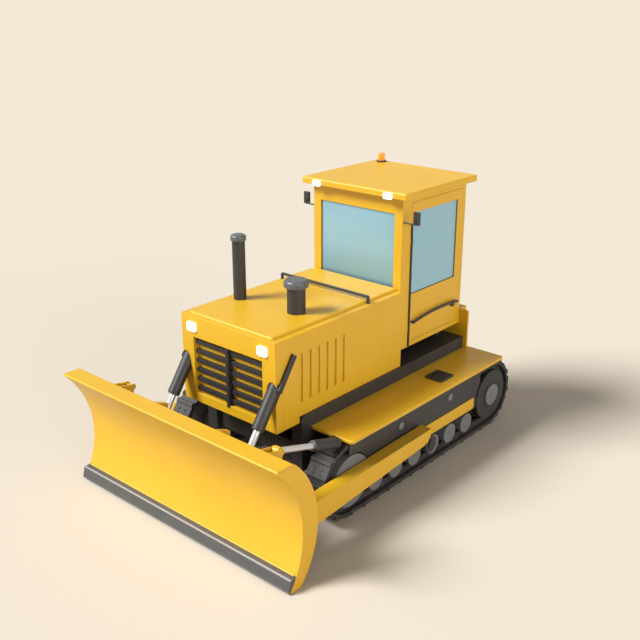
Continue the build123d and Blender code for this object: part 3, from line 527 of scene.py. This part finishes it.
def cylinder_glands():
    """The screwed gland and wiper at the mouth of each barrel."""
    profile = ((38.5, 1), (40, 5), (46, 6), (47, 10), (58, 10), (60, 8), (60, -1), (38.5, -1), (38.5, 1))
    down = (LIFT_BOTTOM - LIFT_TOP).normalized()
    for side, name in NAMED_SIDES:
        shape = bmesh.new()
        turned(shape, profile, facing(Vector((side * LIFT_X, 0, 0)) + LIFT_BOTTOM, down), 32)
        piece(f"lift_gland_{name}", shape, f"lift_barrel_{name}", "dark_paint", SMOKE_ENAMEL)
    shape = bmesh.new()
    out = (STRUT_EYE - STRUT_ANCHOR).normalized()
    profile = ((32.5, 1), (34, 4), (38, 5), (39, 8), (47, 8), (49, 6), (49, -1), (32.5, -1), (32.5, 1))
    turned(shape, profile, facing(Vector((STRUT_X, 0, 0)) + STRUT_ANCHOR + out * STRUT_BARREL_END, out), 32)
    piece("strut_gland", shape, "strut_barrel", "dark_paint", SMOKE_ENAMEL)


# ---------------------------------------------------------------- hood and cab
LOUVRE_COUNT = 6
LOUVRE_PITCH = 134.8
LOUVRE_FIRST = -1084
LOUVRE_SLANT = math.radians(14)
RUBBER_WIDTH = 4
RUBBER_DEPTH = 5


def louvre_vanes():
    """A slanted vane in each slot of the hood's sides, deepest at its rear edge."""
    shape = bmesh.new()
    for side in SIDES:
        for n in range(LOUVRE_COUNT):
            middle = Vector((side * 698.5, LOUVRE_FIRST + n * LOUVRE_PITCH, 1558)) * MM
            place = Matrix.Translation(middle) @ Matrix.Rotation(side * LOUVRE_SLANT, 4, "Z")
            rounded_bar(shape, (-1.5, -19.5, -277), (1.5, 19.5, 277), 1, place)
    piece("louvre_vanes", shape, "chassis", "yellow_paint")


def hood_screws():
    """Low button heads along the lower edges of the hood's sides and beside the grille."""
    profile = ((0, 3), (4, 2.8), (7, 1.6), (8, 0), (8, -1), (0, -1))
    shape = bmesh.new()
    for side in SIDES:
        for n in range(7):
            turned(shape, profile, facing((side * 706, -1050 + n * 270, 1152), (side, 0, 0)), 12)
        for z in (1180, 1380, 1580, 1780):
            turned(shape, profile, facing((side * 545, -1464, z), (0, -1, 0)), 12)
    piece("hood_screws", shape, "chassis", "yellow_paint")


def window_seals():
    """Rubber glazing strips of the fixed panes and of each door's pane."""
    shape = bmesh.new()
    edge_strip(shape, facing((0, 682, 2491.5), (0, -1, 0)), 552, 448.5, RUBBER_WIDTH, RUBBER_DEPTH)
    edge_strip(shape, facing((0, 1940, 2450), (0, 1, 0)), 500, 450, RUBBER_WIDTH, RUBBER_DEPTH)
    piece("window_seals", shape, "chassis", "dark_plastic", RUBBER)
    for side, name in NAMED_SIDES:
        shape = bmesh.new()
        pane = facing((side * 646, 1331.5, 2443), (side, 0, 0))
        edge_strip(shape, pane, 459.5, 490, RUBBER_WIDTH, RUBBER_DEPTH)
        piece(f"door_window_seal_{name}", shape, f"door_{name}", "dark_plastic", RUBBER)


def door_jambs():
    """The painted lip round each doorway, a millimetre inside the cab's outer face."""
    for side, name in NAMED_SIDES:
        shape = bmesh.new()
        edge_strip(shape, facing((side * 655, 1369, 2208), (side, 0, 0)), 519, 850, 4, 6)
        piece(f"door_jamb_{name}", shape, "chassis", "yellow_paint")


def mirror_faces():
    """Silvered glass on the mirrors' rear faces."""
    shape = bmesh.new()
    for side in SIDES:
        rounded_bar(shape, (side * 821 - 35, 729, 2851), (side * 821 + 35, 732, 2983), 1.2)
    piece("mirror_faces", shape, "chassis", "chrome_rod", MIRROR)


def filler_cap():
    """The fuel tank's lobed filler cap on its neck."""
    shape = bmesh.new()
    profile = ((0, 46), (34, 46), (42, 43), (46, 36), (46, 16), (40, 14), (40, 6), (54, 5), (56, 0),
               (56, -2), (0, -2))
    place = facing((380, 2110, 1440), (0, 0, 1))
    turned(shape, profile, place, 32)
    for n in range(8):
        spin = place @ Matrix.Rotation(n * math.pi / 4, 4, "Z")
        rounded_bar(shape, (42, -5, 18), (51, 5, 40), 2, spin)
    piece("filler_cap", shape, "chassis", "dark_plastic")


def floor_mat():
    """A ribbed rubber mat in front of the seat."""
    shape = bmesh.new()
    rounded_bar(shape, (-560, 760, 1357), (560, 1250, 1364), 2)
    for n in range(15):
        y = 790 + n * 31
        rounded_bar(shape, (-540, y - 7, 1363), (540, y + 7, 1367), 1.5)
    piece("floor_mat", shape, "chassis", "dark_plastic", RUBBER)


def pedals():
    """Two ribbed rubber pads on arms."""
    shape = bmesh.new()
    for x in (-150, 150):
        rounded_bar(shape, (x - 8, 700, 1468), (x + 8, 866, 1486), 3)
        rounded_bar(shape, (x - 45, 862, 1430), (x + 45, 873, 1530), 4)
        for z in (1450, 1470, 1490, 1510):
            rounded_bar(shape, (x - 38, 872, z - 4), (x + 38, 876, z + 4), 1.5)
    piece("pedals", shape, "chassis", "dark_plastic", RUBBER)


def dash_dials():
    """Three round dials with bezels and pointers on the sloping instrument panel."""
    shape = bmesh.new()
    outward = Vector((0, 300, 40)).normalized()
    profile = ((0, 1), (34, 1), (35, 5), (37, 7), (41, 7), (43, 5), (43, -3), (0, -3))
    for x, turn in ((-140, 0.9), (0, -0.4), (140, 0.3)):
        place = facing((x, 834, 1895), outward, turn)
        turned(shape, profile, place, 32)
        rounded_bar(shape, (-1.5, -6, 1.5), (1.5, 27, 3), 0.5, place)
    piece("dash_dials", shape, "chassis", "dark_plastic", SMOKE_ENAMEL)


def lever_boots():
    """Folded rubber boots where the levers leave their consoles."""
    folds = [(40, -1), (40, 4)]
    for n in range(5):
        folds += [(36 - 4.5 * n, 9 + 9 * n), (29 - 4.5 * n, 13 + 9 * n)]
    profile = [(0, -1), *folds, (0, 54)]
    shape = bmesh.new()
    for side in SIDES:
        turned(shape, profile, facing((side * 360, 1330, 1880), (0, 0, 1)))
    piece("lever_boots", shape, "chassis", "dark_plastic", RUBBER)


# ---------------------------------------------------------------- seat
VOXEL = 6.5 * MM
MOST_SWELL = 12 * MM
STUFFING = 4
SETTLING_FRAMES = 20
CORNER = 24
SEAM_WIDTH = 6
SEAM_DEPTH = 8
BOLSTER_RISE = 10
SEAT_LEAN = Matrix.Translation((0, 1.742, 1.824)) @ Matrix.Rotation(math.radians(-5.2), 4, "X")


def stuffed(name, half):
    """A pad of half sizes in millimetres, remeshed and inflated, and where its points were before."""
    shape = bmesh.new()
    rounded_bar(shape, [-value for value in half], half, CORNER)
    bmesh.ops.subdivide_edges(shape, edges=shape.edges, cuts=3, use_grid_fill=True)
    mesh = bpy.data.meshes.new(name)
    shape.to_mesh(mesh)
    shape.free()
    pad = bpy.data.objects.new(name, mesh)
    bpy.context.scene.collection.objects.link(pad)
    remesh = pad.modifiers.new("voxels", "REMESH")
    remesh.mode = "VOXEL"
    remesh.voxel_size = VOXEL
    remesh.use_smooth_shade = True
    graph = bpy.context.evaluated_depsgraph_get()
    pad.data = bpy.data.meshes.new_from_object(pad.evaluated_get(graph))
    pad.data.name = name
    pad.modifiers.clear()
    rest = [vert.co.copy() for vert in pad.data.vertices]
    cloth = pad.modifiers.new("stuffing", "CLOTH")
    cloth.settings.use_pressure = True
    cloth.settings.uniform_pressure_force = STUFFING
    cloth.settings.effector_weights.gravity = 0
    cloth.settings.quality = 5
    cloth.point_cache.frame_start = 1
    cloth.point_cache.frame_end = SETTLING_FRAMES
    for step in range(1, SETTLING_FRAMES + 1):
        bpy.context.scene.frame_set(step)
    graph = bpy.context.evaluated_depsgraph_get()
    swollen = bpy.data.meshes.new_from_object(pad.evaluated_get(graph))
    pad.modifiers.clear()
    for vert, start, end in zip(pad.data.vertices, rest, swollen.vertices):
        swell = end.co - start
        vert.co = start + swell * min(1.0, MOST_SWELL / max(swell.length, 1e-9))
    bpy.data.meshes.remove(swollen)
    bpy.context.scene.frame_set(1)
    return pad, rest


def sewn(pad, rest, half, bolster, channels, place):
    """Press the seams into a pad's front, raise its bolsters, and put it in its place."""
    for vert, start in zip(pad.data.vertices, rest):
        x, y, z = (value / MM for value in start)
        front = max(0.0, min(1.0, z / half[2]))
        side_seam = math.exp(-((abs(x) - bolster) / SEAM_WIDTH) ** 2)
        inside = 1.0 if abs(x) < bolster else 0.0
        across = max(math.exp(-((y - at) / SEAM_WIDTH) ** 2) for at in channels) * inside
        on_side, on_end = abs(x) > half[0] - 12, abs(y) > half[1] - 12
        piping = 3.5 * math.exp(-((z - half[2] + 26) / 5) ** 2)
        along = min(1, max(0, (abs(x) - bolster) / (half[0] - bolster)))
        raised = BOLSTER_RISE * math.sin(math.pi * along) * front
        vert.co.z += (raised - SEAM_DEPTH * max(side_seam, across) * front) * MM
        vert.co.x -= math.copysign(piping, x) * MM if on_side else 0
        vert.co.y -= math.copysign(piping, y) * MM if on_end else 0
    pad.data.transform(place)
    pad.data.polygons.foreach_set("use_smooth", [True] * len(pad.data.polygons))
    smooth = pad.modifiers.new("finer", "SUBSURF")
    smooth.levels = smooth.render_levels = 1
    pad.data.materials.clear()
    pad.data.materials.append(LOOKS["seat_vinyl"])
    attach(pad, "chassis")
    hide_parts("seat")


def seat():
    """The driver's seat: a sewn cushion and back in a moulded tray and shell."""
    flat = Matrix.Translation((0, 1.518, 1.768))
    upright = SEAT_LEAN @ Matrix.Translation((0, -0.002, 0.325)) @ Matrix.Rotation(math.radians(90), 4, "X")
    # name, half sizes, the bolster seams' distance from the middle, the channels and the place
    table = (("seat_cushion", (222, 212, 46), 128, (-110, 0, 110), flat),
             ("seat_back", (212, 312, 34), 122, (-200, -90, 20, 130), upright))
    for name, half, bolster, channels, place in table:
        pad, rest = stuffed(name, half)
        sewn(pad, rest, half, bolster, channels, place)
    shape = bmesh.new()
    rounded_bar(shape, (-214, 1306, 1700), (214, 1752, 1716), 7)
    rounded_bar(shape, (-200, 34, 18), (200, 50, 622), 7, SEAT_LEAN)
    for side in SIDES:
        rounded_bar(shape, (side * 200 - 14, 1700, 1704), (side * 200 + 14, 1800, 1850), 8)
    piece("seat_tray", shape, "chassis", "dark_plastic")


for side, name in NAMED_SIDES:
    shoe_bolts(side, name)
    track_pins(side, name)
wheel_caps()
step_treads()
blade_welds()
edge_fillet()
edge_nuts()
cylinder_glands()
louvre_vanes()
hood_screws()
window_seals()
door_jambs()
mirror_faces()
filler_cap()
floor_mat()
pedals()
dash_dials()
lever_boots()
seat()

# ---------------------------------------------------------------- stage, light and camera
SKY_STRENGTH = 0.29
SKY_SEEN = 0.6
KEY = 4.95
FILL = 2.7
LENS_MM = 50.6
EYE_AT = (6.437, -7.347, 5.368)
LOOK_DOWN = 20.50
LOOK_COMPASS = 41.17


def floor():
    """A plane far wider than any view."""
    grid = bmesh.new()
    bmesh.ops.create_grid(grid, x_segments=2, y_segments=2, size=400)
    mesh = bpy.data.meshes.new("studio_floor")
    grid.to_mesh(mesh)
    grid.free()
    plane = bpy.data.objects.new("studio_floor", mesh)
    bpy.context.scene.collection.objects.link(plane)
    mesh.materials.append(studio_floor())


def sky():
    """An even sky that lights softly, and that the camera, gloss and glass see brighter."""
    world = bpy.data.worlds.new("studio_sky")
    bpy.context.scene.world = world
    world.use_nodes = True
    tree = world.node_tree
    tree.nodes.clear()
    seen = add(tree, "LightPath", output="Is Camera Ray")
    for ray in ("Is Glossy Ray", "Is Transmission Ray"):
        seen = add(tree, "Math", {0: seen, 1: add(tree, "LightPath", output=ray)}, operation="MAXIMUM")
    strength = add(tree, "MapRange", {"Value": seen, "To Min": SKY_STRENGTH, "To Max": SKY_SEEN})
    glow = add(tree, "Background", {"Color": linear("#ffffff"), "Strength": strength})
    add(tree, "OutputWorld", {"Surface": glow})


def suns():
    """A broad white key from the front right and a low, warm fill from the left."""
    # name, energy, angle of the disc and compass and dive angles of travel, in degrees, and colour
    table = (("key", KEY, 24, 53, 44, "#ffffff"), ("fill", FILL, 50, 172, 4, "#fff5ea"))
    for name, energy, disc, compass, dive, colour in table:
        sun = bpy.data.lights.new(name, "SUN")
        sun.energy = energy
        sun.angle = math.radians(disc)
        sun.color = linear(colour)[:3]
        lamp = bpy.data.objects.new(name, sun)
        bpy.context.scene.collection.objects.link(lamp)
        heading, dip = math.radians(compass), math.radians(dive)
        travel = Vector((math.cos(heading) * math.cos(dip), math.sin(heading) * math.cos(dip), -math.sin(dip)))
        lamp.rotation_euler = travel.to_track_quat("-Z", "Y").to_euler()


def camera():
    """The view from the front, above and on the machine's left."""
    lens = bpy.data.cameras.new("camera")
    lens.sensor_width = 36
    lens.lens = LENS_MM
    lens.clip_end = 2000
    eye = bpy.data.objects.new("camera", lens)
    bpy.context.scene.collection.objects.link(eye)
    eye.location = EYE_AT
    eye.rotation_euler = (math.radians(90 - LOOK_DOWN), 0, math.radians(LOOK_COMPASS))
    bpy.context.scene.camera = eye


floor()
sky()
suns()
camera()
bpy.context.scene.view_settings.view_transform = "Standard"
